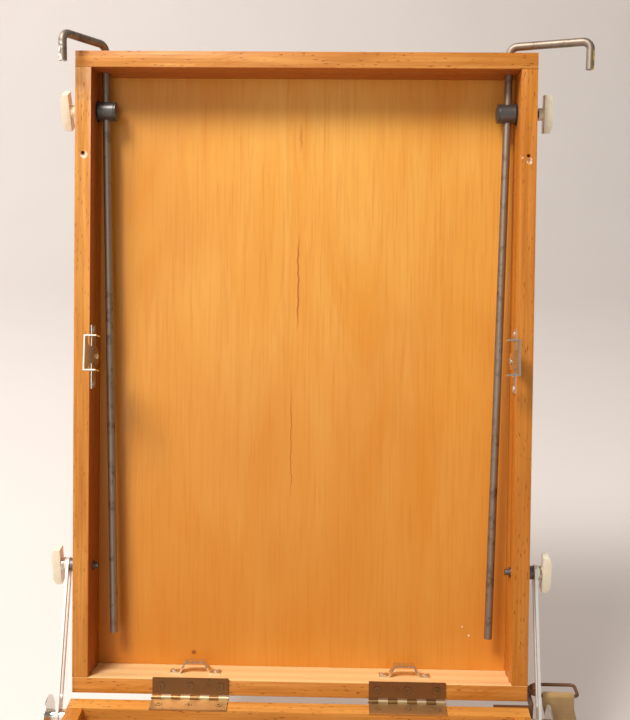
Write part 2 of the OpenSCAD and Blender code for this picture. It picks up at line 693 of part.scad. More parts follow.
// Hasp that hangs down from its pin and swings up over the strike.
module latch(side) color("silver") translate([side * latch_x, -latch_y, latch_z]) {
  half = latch_w / 2 - 2.4;
  difference() {
    union() {
      bar_x(2.6, -half, half);
      // plate with its lower edge turned outwards as a finger lip
      translate([-half + 0.3, 0, 0]) rotate([90, 0, 90]) linear_extrude(2 * half - 0.6)
        polygon([[-0.75, 0], [-0.75, -latch_len + 1], [-2.6, -latch_len - 2.4], [-1.4, -latch_len - 3.2],
                 [0.75, -latch_len], [0.75, 0]]);
    }
    bar_x(latch_pin_r + fit, -latch_w, latch_w);
    block([-4.5, -2, -strike_up - 4.5], [4.5, 2, -strike_up + 4.5]);
  }
}

// ---- shoulder strap ----

module strap_rings() color("saddlebrown") {
  translate([ring_x, rear_ring_y, ring_z]) wire_loop(ring_size, ring_bend, wire_r);
  translate([ring_x, front_ring_y, ring_z]) mirror([0, 1, 0]) wire_loop(ring_size, ring_bend, wire_r);
}

// Rolled eye on a plate, for a ring's inner side; the eye runs along Y from 0.
module ring_eye() difference() {
  union() {
    bar_y(3.4, 0, 9);
    block([-4.5, 0, -13], [-2.5, 9, 0]);
    block([-4.5, 0, -1.2], [-2, 9, 1.2]);
  }
  bar_y(wire_r + fit, -1, 10);
}

module strap_brackets() color("saddlebrown") {
  translate([ring_x, hinge_y + 9, ring_z]) ring_eye();
  block([ring_x - 4.5, box_d / 2, ring_z - 13], [ring_x - 2.5, hinge_y + 9, ring_z - 4]);
  block([lid_w / 2 - 30, box_d / 2, ring_z - 36], [ring_x - 2.5, box_d / 2 + 2, ring_z - 6.5]);
  translate([ring_x, front_ring_y - 13.5, ring_z]) ring_eye();
  block([lid_w / 2, front_ring_y - 24, ring_z - 26], [lid_w / 2 + 1.5, front_ring_y + 6, ring_z - 10]);
  block([lid_w / 2, front_ring_y - 13.5, ring_z - 13], [ring_x - 2.5, front_ring_y - 4.5, ring_z - 10]);
}

// Height and outward shift along the strap's middle line, from the rear ring to the front one.
strap_side = [for (i = [0 : strap_steps]) let (a = 90 * i / strap_steps)
  [strap_curve * (1 - cos(a)), strap_drop - (strap_drop - strap_floor) * sin(a)]];
strap_path = concat(
  [[rear_ring_y, ring_z - wire_r - 0.4], [rear_ring_y, (ring_z + strap_drop) / 2]],
  [for (p = strap_side) [rear_ring_y - p[0], p[1]]],
  [for (i = [strap_steps : -1 : 0]) [front_ring_y + strap_side[i][0], strap_side[i][1]]],
  [[front_ring_y, (ring_z + strap_drop) / 2], [front_ring_y, ring_z - wire_r - 0.4]]);

function strap_shift(z) = let (t = min(1, max(0, (ring_z - z) / 50))) strap_drift * t * t * (3 - 2 * t);
function strap_dir(i) = let (a = strap_path[max(0, i - 1)], b = strap_path[min(len(strap_path) - 1, i + 1)],
                             d = b - a) d / norm(d);

module strap() color("darkgoldenrod") {
  n = len(strap_path);
  points = [for (i = [0 : n - 1]) let (p = strap_path[i], d = strap_dir(i), s = strap_shift(p[1]))
    for (k = [[-1, -1], [1, -1], [1, 1], [-1, 1]])
      [strap_x + s + k[0] * strap_w / 2, p[0] + k[1] * d[1] * strap_t / 2, p[1] - k[1] * d[0] * strap_t / 2]];
  faces = concat([[0, 1, 2, 3]],
    [for (i = [0 : n - 2]) for (k = [0 : 3])
      [4 * i + k, 4 * i + 4 + k, 4 * i + 4 + (k + 1) % 4, 4 * i + (k + 1) % 4]],
    [[4 * n - 1, 4 * n - 2, 4 * n - 3, 4 * n - 4]]);
  polyhedron(points, faces);
}

module strap_buckle() color("saddlebrown")
  translate([strap_x + strap_drift, front_ring_y + strap_curve + 40, strap_floor + strap_t / 2]) difference() {
    translate([0, 0, 1.1]) cube([strap_w + 8, 22, 2.2], center = true);
    for (y = [-5.2, 5.2]) translate([0, y, 0]) cube([strap_w + 1, 6.4, 10], center = true);
  }

// ---- legs ----
// A leg's own frame: pivot at the origin, leg along +Y, thickness along X and the two slats apart along Z.

module leg_thumb_holes() translate([0, leg_bolt_at, 0]) cylinder(r = stud_r + fit, h = 2 * leg_w, center = true);

module leg_slats() for (up = [1, -1]) mirror([0, 0, up > 0 ? 0 : 1])
  block([-leg_t / 2, 20, leg_w / 2 - slat_t], [leg_t / 2, leg_len, leg_w / 2]);

module leg_lower_shape() difference() {
  block([-leg_t / 2 + 0.2, 36, -leg_gap / 2 + loose], [leg_t / 2 - 0.2, leg_foot_at, leg_gap / 2 - loose]);
  for (y = [56, leg_bolt_at + 8]) translate([0, y, 0]) cylinder(r = stud_r + 0.5, h = leg_w, center = true);
  block([-stud_r - 0.5, 56, -leg_w], [stud_r + 0.5, leg_bolt_at + 8, leg_w]);
}

module leg_tip_shape() translate([0, leg_foot_at, 0]) {
  block([-leg_t / 2 + 0.2, 0, -leg_gap / 2 + loose], [leg_t / 2 - 0.2, 4, leg_gap / 2 - loose]);
  bar_y(leg_t / 2 - 1, 0, leg_tip_len);
}

// Thumb screw through both slats, with its round knob below them.
module leg_knob_shape() translate([0, leg_bolt_at, 0]) {
  translate([0, 0, -leg_w / 2 - 2]) cylinder(r = stud_r, h = leg_w - 2);
  translate([0, 0, -leg_w / 2 - loose - 10]) difference() {
    cylinder(r = leg_knob_r, h = 10);
    for (turn = [0 : 45 : 315]) rotate([0, 0, turn]) translate([leg_knob_r + 0.8, 0, -1]) cylinder(r = 2, h = 20);
  }
}

module side_leg_frame(side) on_side(side) translate([leg_x, leg_y, leg_z]) children();

// The rear leg lies under the bottom board, with its slats apart along X.
module rear_leg_frame() translate([0, rear_leg_y, rear_leg_z]) rotate([0, 0, 180]) rotate([0, 90, 0]) children();

module side_leg_upper(side) color("peru") side_leg_frame(side) difference() {
  union() {
    bar_x(leg_w / 2, -leg_t / 2, leg_t / 2);
    block([-leg_t / 2, 0, -leg_w / 2], [leg_t / 2, 30, leg_w / 2]);
    leg_slats();
  }
  bar_x(leg_pivot_r + fit, -leg_t, leg_t);
  leg_thumb_holes();
}

module rear_leg_upper() color("peru") rear_leg_frame() difference() {
  union() {
    translate([0, 0, -leg_w / 2]) cylinder(r = leg_t / 2, h = leg_w);
    block([-leg_t / 2, 0, -leg_w / 2], [leg_t / 2, 30, leg_w / 2]);
    leg_slats();
  }
  translate([0, 0, -leg_w]) cylinder(r = rear_pivot_r + fit, h = 2 * leg_w);
  leg_thumb_holes();
}

lid_side(-1);  // lid_side_left
lid_side(1);  // lid_side_right
lid_top_rail();
lid_bottom_rail();
lid_panel();
lid_hinge_leaves();
lid_screws();
canvas_rests();
clip_plates();
stay_bolts();
latch_strikes();
side_clip(-1);  // side_clip_left
side_clip(1);  // side_clip_right
clamp_barrel(-1);  // clamp_barrel_left
clamp_barrel(1);  // clamp_barrel_right
rod(-1, left_hook_turn, left_arm_len);  // rod_left
rod(1, right_hook_turn, right_arm_len);  // rod_right
rod_knob(-1, left_knob_turn);  // rod_knob_left
rod_knob(1, right_knob_turn);  // rod_knob_right
stay_knob(-1);  // stay_knob_left
stay_knob(1);  // stay_knob_right
stay(-1);  // stay_left
stay(1);  // stay_right
box_side(-1);  // box_side_left
box_side(1);  // box_side_right
box_rear_wall();
box_bottom();
box_runners();
box_hinge_leaves();
hinge_pins();
box_screws();
stay_pivots();
strap_brackets();
leg_brackets();
drawer_front();
drawer_sides();
drawer_back();
drawer_bottom();
drawer_dividers();
drawer_pull();
latch_bases();
latch(-1);  // latch_left
latch(1);  // latch_right
strap();
strap_rings();
strap_buckle();
side_leg_upper(-1);  // leg_upper_left
color("burlywood") side_leg_frame(-1) leg_lower_shape();  // leg_lower_left
color("black") side_leg_frame(-1) leg_tip_shape();  // leg_tip_left
color("ivory") side_leg_frame(-1) leg_knob_shape();  // leg_knob_left
side_leg_upper(1);  // leg_upper_right
color("burlywood") side_leg_frame(1) leg_lower_shape();  // leg_lower_right
color("black") side_leg_frame(1) leg_tip_shape();  // leg_tip_right
color("ivory") side_leg_frame(1) leg_knob_shape();  // leg_knob_right
rear_leg_upper();  // leg_upper_rear
color("burlywood") rear_leg_frame() leg_lower_shape();  // leg_lower_rear
color("black") rear_leg_frame() leg_tip_shape();  // leg_tip_rear
color("ivory") rear_leg_frame() leg_knob_shape();  // leg_knob_rear
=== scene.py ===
# %% [markdown]
# # French box easel
# A painter's box: a drawer under a lid that stands up and holds the canvas. The working model is already
# built to size, so this lesson loads it as a fixed frame and gives it a finish. Some parts keep their
# shape and only get a material. Others are copied and softened, or modelled again with more detail.

# %% Load the working model
import json
import math

import bpy
from mathutils import Matrix, Vector

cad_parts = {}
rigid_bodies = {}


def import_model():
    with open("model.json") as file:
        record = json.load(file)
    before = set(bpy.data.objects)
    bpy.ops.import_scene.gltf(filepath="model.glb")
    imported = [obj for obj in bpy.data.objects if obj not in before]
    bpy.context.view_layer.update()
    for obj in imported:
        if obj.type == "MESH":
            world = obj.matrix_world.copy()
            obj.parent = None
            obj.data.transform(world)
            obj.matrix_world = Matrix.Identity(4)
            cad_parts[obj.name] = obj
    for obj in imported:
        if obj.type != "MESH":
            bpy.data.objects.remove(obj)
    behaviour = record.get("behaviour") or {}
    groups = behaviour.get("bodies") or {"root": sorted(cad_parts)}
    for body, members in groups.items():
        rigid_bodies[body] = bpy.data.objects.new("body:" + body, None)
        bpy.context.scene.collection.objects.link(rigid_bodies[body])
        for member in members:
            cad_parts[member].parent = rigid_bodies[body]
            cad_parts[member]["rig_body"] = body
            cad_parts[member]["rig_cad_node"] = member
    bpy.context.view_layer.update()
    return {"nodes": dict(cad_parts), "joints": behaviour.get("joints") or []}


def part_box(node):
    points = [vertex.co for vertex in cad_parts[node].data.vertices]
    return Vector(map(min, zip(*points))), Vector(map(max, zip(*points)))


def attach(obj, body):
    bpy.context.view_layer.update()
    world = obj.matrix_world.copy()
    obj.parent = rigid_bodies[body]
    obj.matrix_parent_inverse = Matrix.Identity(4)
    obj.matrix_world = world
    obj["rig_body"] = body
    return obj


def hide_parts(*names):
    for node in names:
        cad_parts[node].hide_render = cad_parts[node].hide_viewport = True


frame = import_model()
MM = 0.001

# %% [markdown]
# The lid leans back, so nothing on it is level or upright. It helps to have the lid's own axes: x to the
# right, depth behind the rim, and height up the lid from the hinge. The joints of the working model tell
# where the hinge is and how far the lid leans, and one matrix then takes lid measures to the world.

# %% The lid's own axes
joints = {joint["name"]: joint for joint in frame["joints"]}
hinge = Vector(joints["lid_hinge"]["pos_m"])
rod_axis = Vector(joints["rod_right_slide"]["axis"])
lean = math.atan2(rod_axis.y, rod_axis.z)
lid_to_world = Matrix.Translation(hinge) @ Matrix.Rotation(-lean, 4, "X")
world_to_lid = lid_to_world.inverted()


def lid_box(node):
    """Lowest and highest corner of a node, measured along the lid's own axes."""
    points = [world_to_lid @ vertex.co for vertex in frame["nodes"][node].data.vertices]
    return (Vector(min(p[i] for p in points) for i in range(3)),
            Vector(max(p[i] for p in points) for i in range(3)))


print("hinge", tuple(hinge), "lean", round(math.degrees(lean), 2))

# %% [markdown]
# The camera stands where the painter's eyes are: in front of the lid, above it, looking a little down.
# Its turn is made from three angles, and the matrix holds its right, up and backward directions.

# %% Camera
CAMERA_PLACE = hinge + Vector((33.7, -805.0, 533.4)) * MM
CAMERA_DOWN = 0.2718
CAMERA_LEFT = -0.0257
CAMERA_ROLL = -0.0054
ahead = Vector((math.sin(CAMERA_LEFT) * math.cos(CAMERA_DOWN),
                math.cos(CAMERA_LEFT) * math.cos(CAMERA_DOWN), -math.sin(CAMERA_DOWN)))
level_right = Vector((math.cos(CAMERA_LEFT), -math.sin(CAMERA_LEFT), 0))
level_down = ahead.cross(level_right)
right = level_right * math.cos(CAMERA_ROLL) + level_down * math.sin(CAMERA_ROLL)
down = level_down * math.cos(CAMERA_ROLL) - level_right * math.sin(CAMERA_ROLL)
camera_data = bpy.data.cameras.new("camera")
camera_data.lens = 52.5
camera_data.sensor_width = 36.0
camera_data.clip_start = 0.05
camera = bpy.data.objects.new("camera", camera_data)
bpy.context.scene.collection.objects.link(camera)
turn = Matrix((right, -down, -ahead)).transposed().to_4x4()
camera.matrix_world = Matrix.Translation(CAMERA_PLACE) @ turn
bpy.context.scene.camera = camera
print("camera at", tuple(round(v, 3) for v in CAMERA_PLACE))

# %% [markdown]
# The easel stands on a plain pale floor that curves up behind it into a wall, as in a studio. The curve
# has no corner, so no line shows behind the object. It is a strip of faces, extruded along its side
# profile: floor, a quarter circle, and wall.

# %% Floor and studio wall
def deselect_all():
    """Leaves nothing selected, so that the next operator acts only on what it is given."""
    if bpy.context.object and bpy.context.object.mode != "OBJECT":
        bpy.ops.object.mode_set(mode="OBJECT")
    bpy.ops.object.select_all(action="DESELECT")


SWEEP_HALF_WIDTH = 6.0
SWEEP_FRONT = -4.0
SWEEP_BACK = 2.6
SWEEP_RADIUS = 1.2
SWEEP_HEIGHT = 4.5
profile = [(SWEEP_FRONT, 0.0)]
for step in range(17):
    angle = math.radians(90 * step / 16)
    profile.append((SWEEP_BACK + SWEEP_RADIUS * math.sin(angle), SWEEP_RADIUS * (1 - math.cos(angle))))
profile.append((SWEEP_BACK + SWEEP_RADIUS, SWEEP_HEIGHT))
sweep_mesh = bpy.data.meshes.new("studio_sweep")
sweep_points = [(x, y, z) for y, z in profile for x in (-SWEEP_HALF_WIDTH, SWEEP_HALF_WIDTH)]
sweep_faces = [(2 * i, 2 * i + 1, 2 * i + 3, 2 * i + 2) for i in range(len(profile) - 1)]
sweep_mesh.from_pydata(sweep_points, [], sweep_faces)
sweep_mesh.shade_smooth()
sweep = bpy.data.objects.new("studio_sweep", sweep_mesh)
bpy.context.scene.collection.objects.link(sweep)
print("sweep faces:", len(sweep_mesh.polygons))

# %% [markdown]
# The light is soft and comes from the upper left, so the lid's left wall and the top of its panel fall
# into shade while its right wall glows. One area lamp high up gives the soft shadows, a weak one near the
# painter opens them a little, another lights the studio wall, and a pale sky lifts the rest.

# %% Lights
def add_lamp(name, place, target, size, power, color):
    """Square area lamp at place that faces target."""
    data = bpy.data.lights.new(name, "AREA")
    data.size = size
    data.energy = power
    data.color = color
    lamp = bpy.data.objects.new(name, data)
    lamp.location = place
    lamp.rotation_euler = (Vector(target) - Vector(place)).to_track_quat("-Z", "Y").to_euler()
    bpy.context.scene.collection.objects.link(lamp)
    return lamp


LIT_POINT = (0, 0.3, 0.4)
add_lamp("key_lamp", (-1.05, -0.75, 2.6), LIT_POINT, 0.9, 76, (1.0, 0.97, 0.93))
add_lamp("fill_lamp", (-0.6, -2.2, 1.1), LIT_POINT, 1.4, 9, (1.0, 0.96, 0.90))
add_lamp("wall_lamp", (-2.4, 1.2, 2.6), (-0.3, 3.4, 1.0), 2.0, 62, (1.0, 0.98, 0.97))
world = bpy.data.worlds.new("studio_sky")
world.use_nodes = True
world.node_tree.nodes["Background"].inputs["Color"].default_value = (0.95, 0.93, 0.90, 1)
world.node_tree.nodes["Background"].inputs["Strength"].default_value = 0.28
bpy.context.scene.world = world
bpy.context.scene.view_settings.view_transform = "Standard"

# %% [markdown]
# Every finish is a small graph of shader nodes. Two helpers keep the graphs short. One starts a material
# and sets the plain numbers on the shader itself. The other adds a node and links or sets its inputs.

# %% Material helpers
def start_material(name, color, roughness, metallic=0.0, **plain):
    """New material whose shader has this colour, roughness and other plain numbers."""
    material = bpy.data.materials.new(name)
    material.use_nodes = True
    shader = material.node_tree.nodes["Principled BSDF"]
    shader.inputs["Base Color"].default_value = (*color, 1)
    shader.inputs["Roughness"].default_value = roughness
    shader.inputs["Metallic"].default_value = metallic
    for key, value in plain.items():
        shader.inputs[key.replace("_", " ")].default_value = value
    return material, shader


def add(material, kind, settings=None, **inputs):
    """Adds a node. An input is another node's output, or a number, colour or vector."""
    item = material.node_tree.nodes.new(kind)
    for key, value in (settings or {}).items():
        setattr(item, key, value)
    for key, value in inputs.items():
        socket = item.inputs[int(key[1:])] if key[1:].isdigit() else item.inputs[key.replace("_", " ")]
        if isinstance(value, bpy.types.NodeSocket):
            material.node_tree.links.new(value, socket)
        else:
            socket.default_value = value
    return item


def math_node(material, operation, a, b=0.0, c=0.0):
    """One arithmetic step, clamped where the name of the operation ends in a bang."""
    settings = {"operation": operation.rstrip("!"), "use_clamp": operation.endswith("!")}
    return add(material, "ShaderNodeMath", settings, i0=a, i1=b, i2=c).outputs[0]


def mix_color(material, factor, a, b):
    """Mixes two colours; a plain colour is given as three numbers."""
    a = (*a, 1) if isinstance(a, tuple) else a
    b = (*b, 1) if isinstance(b, tuple) else b
    return add(material, "ShaderNodeMix", {"data_type": "RGBA"}, i0=factor, i6=a, i7=b).outputs[2]


def ramp(material, factor, low, high):
    """Straight rise from 0 at low to 1 at high, clamped outside."""
    item = add(material, "ShaderNodeMapRange", Value=factor, From_Min=low, From_Max=high)
    return item.outputs["Result"]


def noise(material, vector, scale, detail=3.0, roughness=0.5, distortion=0.0):
    """Soft random pattern between 0 and 1."""
    item = add(material, "ShaderNodeTexNoise", Vector=vector, Scale=scale, Detail=detail,
               Roughness=roughness, Distortion=distortion)
    return item.outputs["Fac"]


def lift(material, shader, height, strength, distance):
    """Sends a height pattern to the shader as small bumps."""
    bump = add(material, "ShaderNodeBump", Height=height, Strength=strength, Distance=distance)
    material.node_tree.links.new(bump.outputs["Normal"], shader.inputs["Normal"])


def link(material, output, shader, name):
    """Links a pattern to one of the shader's inputs."""
    material.node_tree.links.new(output, shader.inputs[name])


def place_of(material, on_lid=False, shift=(0, 0, 0)):
    """Object coordinates, turned into the lid's own axes for pieces on the lid."""
    vector = add(material, "ShaderNodeTexCoord").outputs["Object"]
    if on_lid:
        move = world_to_lid.translation + Vector(shift)
        vector = add(material, "ShaderNodeMapping", Vector=vector, Location=move,
                     Rotation=(lean, 0, 0)).outputs["Vector"]
    elif any(shift):
        vector = add(material, "ShaderNodeMapping", Vector=vector, Location=shift).outputs["Vector"]
    return vector


def stretch(material, vector, scale):
    """Squeezes or stretches a pattern along each axis."""
    return add(material, "ShaderNodeMapping", Vector=vector, Scale=scale).outputs["Vector"]


sweep_paint, sweep_shader = start_material("studio_paper", (0.80, 0.735, 0.69), 0.9)
sweep_tone = noise(sweep_paint, place_of(sweep_paint), 2.5, 2.0)
link(sweep_paint, mix_color(sweep_paint, ramp(sweep_paint, sweep_tone, 0.3, 0.7), (0.80, 0.735, 0.69),
                            (0.82, 0.755, 0.71)), sweep_shader, "Base Color")
sweep.data.materials.append(sweep_paint)

# %% [markdown]
# Beech is an orange-tan wood with fine straight grain and short dark flecks. Each board's grain runs along
# its length, so the patterns are squeezed along that axis: soft streaks a few millimetres apart, flecks
# a third of a millimetre wide and three long, and slow changes of tone from board to board.

# %% Beech
LONG = 0.12


def spot(material, parts, x, z, radius, core=0.3):
    """Soft round mark at a place on the lid."""
    dx = math_node(material, "SUBTRACT", parts["x"], x)
    dz = math_node(material, "SUBTRACT", parts["z"], z)
    far = math_node(material, "SQRT", math_node(material, "ADD", math_node(material, "MULTIPLY", dx, dx),
                                                math_node(material, "MULTIPLY", dz, dz)))
    return ramp(material, far, radius, radius * core)


def along(axis, fine, long_share=LONG):
    """Pattern scale that is fine across the grain and long along it."""
    return tuple(fine * long_share if i == "xyz".index(axis) else fine for i in range(3))


def beech(name, axis, on_lid=False, light=(0.79, 0.345, 0.060), dark=(0.54, 0.17, 0.014), shift=(0, 0, 0),
          roughness=0.45, flecks=1.0, chips=(), slant=0.0, zone=None):
    """Varnished beech with the grain along one axis. A chip is (x, height, radius) on the lid's rim.
    A zone is a painted shade or painted light tone past a place on one of the lid's axes: (axis, place, side,
    colour, share)."""
    material, shader = start_material(name, light, roughness, Coat_Weight=0.08, Coat_Roughness=0.3,
                                      Specular_IOR_Level=0.3)
    vector = place_of(material, on_lid, shift)
    streaks = noise(material, stretch(material, vector, along(axis, 150, 0.05)), 1.0, 4.0, 0.6, 0.4)
    tone = noise(material, stretch(material, vector, along(axis, 22, 0.25)), 1.0, 2.0)
    rings = noise(material, stretch(material, vector, along(axis, 420, 0.03)), 1.0, 2.0)
    color = mix_color(material, ramp(material, streaks, 0.25, 0.8), light, dark)
    color = mix_color(material, ramp(material, tone, 0.38, 0.8), color, dark)
    color = mix_color(material, ramp(material, rings, 0.35, 1.0), color, tuple(v * 0.7 for v in dark))
    if slant:
        turned = add(material, "ShaderNodeMapping", Vector=vector, Rotation=(0, slant, 0)).outputs["Vector"]
        bands = noise(material, stretch(material, turned, along(axis, 330, 0.07)), 1.0, 2.0, 0.5, 1.2)
        reach = ramp(material, noise(material, stretch(material, vector, (9, 9, 9)), 1.0), 0.45, 0.6)
        bands = math_node(material, "MULTIPLY", ramp(material, bands, 0.5, 0.66), reach)
        color = mix_color(material, math_node(material, "MULTIPLY", bands, 0.8), color, dark)
    bent = noise(material, stretch(material, vector, along(axis, 260, 0.3)), 1.0, 2.0)
    wavy = add(material, "ShaderNodeVectorMath", {"operation": "MULTIPLY_ADD"}, i0=bent,
               i1=(0.9, 0.9, 0.9), i2=stretch(material, vector, along(axis, 400, 0.26))).outputs["Vector"]
    cells = add(material, "ShaderNodeTexVoronoi", Vector=wavy, Scale=1.0, Randomness=1.0)
    fleck = ramp(material, cells.outputs["Distance"], 0.27, 0.12)
    sparse = ramp(material, noise(material, stretch(material, vector, along(axis, 90, 0.5)), 1.0), 0.36, 0.5)
    fleck = math_node(material, "MULTIPLY", fleck, sparse)
    color = mix_color(material, math_node(material, "MULTIPLY", fleck, 0.72 * flecks), color,
                      (0.27, 0.055, 0.006))
    # Painted shade or painted light on one face of a lid board, past the zone's place.
    if zone:
        zone_axis, edge, zone_side, tint, share = zone
        coordinate = add(material, "ShaderNodeSeparateXYZ", Vector=vector).outputs[zone_axis]
        size = math_node(material, "ABSOLUTE", coordinate)
        past = ramp(material, size, edge, edge + zone_side * 0.6 * MM)
        color = mix_color(material, math_node(material, "MULTIPLY", past, share), color, tint)
    if chips:
        split = add(material, "ShaderNodeSeparateXYZ", Vector=vector)
        parts = {"x": split.outputs["X"], "z": split.outputs["Z"]}
        ragged = noise(material, vector, 420, 3.0)
        front = ramp(material, split.outputs["Y"], 0.0034, 0.0030)
        for x, z, radius in chips:
            chip = math_node(material, "MULTIPLY", spot(material, parts, x, z, radius, 0.7), front)
            chip = math_node(material, "MULTIPLY", chip, ramp(material, ragged, 0.36, 0.44))
            color = mix_color(material, chip, color, (0.86, 0.66, 0.50))
            # Painted shade in each chip's hollow, offset to the upper left, the side turned away from the
            # light.
            chip_shade = spot(material, parts, x - radius * 0.25, z + radius * 0.3, radius * 0.7, 0.6)
            chip_shade = math_node(material, "MULTIPLY", chip_shade, front)
            color = mix_color(material, chip_shade, color, (0.40, 0.14, 0.045))
    link(material, color, shader, "Base Color")
    rough = ramp(material, streaks, -0.6, 1.6)
    link(material, math_node(material, "MULTIPLY", rough, roughness * 2), shader, "Roughness")
    height = math_node(material, "SUBTRACT", streaks, math_node(material, "MULTIPLY", fleck, 1.5))
    lift(material, shader, height, 0.4, 0.0003)
    return material


# %% [markdown]
# The broad side of a board, its end grain and a cut board all look different, but on rails this thin one
# pattern is enough. What matters more is that no edge is razor sharp: a joiner breaks every edge. So each
# wooden part is copied, its loose triangles are merged, its flat faces are joined, and a bevel rounds
# what is left.

# %% Soften an edge
def soften(node, width, segments=2):
    """Copy of a CAD node with rounded edges, which then stands for the node."""
    deselect_all()
    piece = bpy.data.objects.new(f"{node}_finished", frame["nodes"][node].data.copy())
    bpy.context.scene.collection.objects.link(piece)
    bpy.context.view_layer.objects.active = piece
    piece.select_set(True)
    if piece.data.has_custom_normals:
        bpy.ops.mesh.customdata_custom_splitnormals_clear()
    bpy.ops.object.mode_set(mode="EDIT")
    bpy.ops.mesh.select_all(action="SELECT")
    bpy.ops.mesh.remove_doubles(threshold=0.00001)
    bpy.ops.mesh.dissolve_limited(angle_limit=math.radians(1))
    bpy.ops.object.mode_set(mode="OBJECT")
    bevel = piece.modifiers.new("rounded_edges", "BEVEL")
    bevel.width = width
    bevel.segments = segments
    bevel.limit_method = "ANGLE"
    bevel.angle_limit = math.radians(35)
    bevel.use_clamp_overlap = True
    bpy.ops.object.modifier_apply(modifier=bevel.name)
    bpy.ops.object.shade_smooth_by_angle(angle=math.radians(30))
    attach(piece, frame["nodes"][node]["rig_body"])
    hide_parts(node)
    return piece


def paint(piece, material):
    """Gives a piece one material."""
    piece.data.materials.clear()
    piece.data.materials.append(material)


BROKEN_EDGE = 0.9 * MM
lid_top = lid_box("lid_top_rail")[1].z
pilot_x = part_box("lid_side_right")[1].x - 7 * MM
pilot_z = lid_top - 88 * MM
side_chips = ((-pilot_x + 0.0010, pilot_z - 0.0018, 0.0036), (pilot_x + 0.0010, pilot_z - 0.0045, 0.0030),
              (pilot_x - 0.0055, pilot_z - 0.0015, 0.0012))
# Painted shade: dark red-brown laid on the inner face of the lid's left wall and under its top rail, where
# shade falls.
PAINTED_SHADE = (0.34, 0.075, 0.004)
# Painted light: a pale tone laid on the top face of the lid's bottom rail, where light from above falls.
PAINTED_LIGHT = (1.0, 0.66, 0.30)
wall_face = lid_box("lid_side_right")[0].x
bore_face = lid_box("lid_top_rail")[0].z
ledge = lid_box("lid_bottom_rail")[1].z
# Painted shade on the inner face of the left wall, which faces away from the light.
lid_left = beech("beech_lid_left", "z", on_lid=True, zone=("X", wall_face + 0.0007, -1, PAINTED_SHADE, 0.75),
                 light=(0.82, 0.385, 0.075), flecks=0.6, chips=side_chips)
lid_right = beech("beech_lid_right", "z", on_lid=True, light=(0.72, 0.29, 0.045), chips=side_chips)
# Painted shade on the underside of the top rail.
lid_crown = beech("beech_lid_crown", "x", on_lid=True, light=(0.86, 0.42, 0.115), slant=0.28,
                  zone=("Z", bore_face + 0.0007, -1, PAINTED_SHADE, 0.8))
# Painted light on the top face of the bottom rail.
lid_across = beech("beech_lid_across", "x", on_lid=True, light=(0.84, 0.385, 0.085), slant=0.28,
                   zone=("Z", ledge - 0.0008, 1, PAINTED_LIGHT, 0.85))
box_deep = beech("beech_box_deep", "y")
box_across = beech("beech_box_across", "x", light=(0.95, 0.50, 0.13), dark=(0.66, 0.24, 0.03), roughness=0.6)
for node_name, material in (("lid_side_left", lid_left), ("lid_side_right", lid_right),
                            ("lid_top_rail", lid_crown), ("lid_bottom_rail", lid_across),
                            ("box_side_left", box_deep), ("box_side_right", box_deep),
                            ("box_rear_wall", box_across), ("box_runners", box_deep),
                            ("drawer_front", box_across)):
    board = soften(node_name, BROKEN_EDGE)
    paint(board, material)
    print(board.name, len(board.data.polygons), "faces")

# %% [markdown]
# The lid's back is a thin sheet of birch plywood under amber varnish. Its face was peeled from the log, so
# the grain is wavy and broad with a fine silky fibre, and the panel is darker towards the bottom. Fine
# cracks run with the grain, and there is a small knot and a few specks of paint.

# %% Plywood panel
CRACKS = ((-0.0045, 0.482, 0.512, 0.0016, 0.8),
          (-0.006, 0.322, 0.414, 0.0011, 0.5),
          (-0.011, 0.170, 0.268, 0.0006, 0.6))


def crack(material, parts, x, low, high, width, seed):
    """Dark wavering line up the panel at x, from low to high, all in metres on the lid."""
    wobble = noise(material, stretch(material, parts["vector"], (0, 0, 45)), 1.0, 3.0, 0.6)
    drift = math_node(material, "MULTIPLY_ADD", wobble, 0.012 * seed, x - 0.006 * seed)
    gap = math_node(material, "ABSOLUTE", math_node(material, "SUBTRACT", parts["x"], drift))
    line = ramp(material, gap, width, width * 0.35)
    start = ramp(material, parts["z"], low, low + 0.02)
    end = ramp(material, parts["z"], high, high - 0.02)
    return math_node(material, "MULTIPLY", line, math_node(material, "MULTIPLY", start, end))


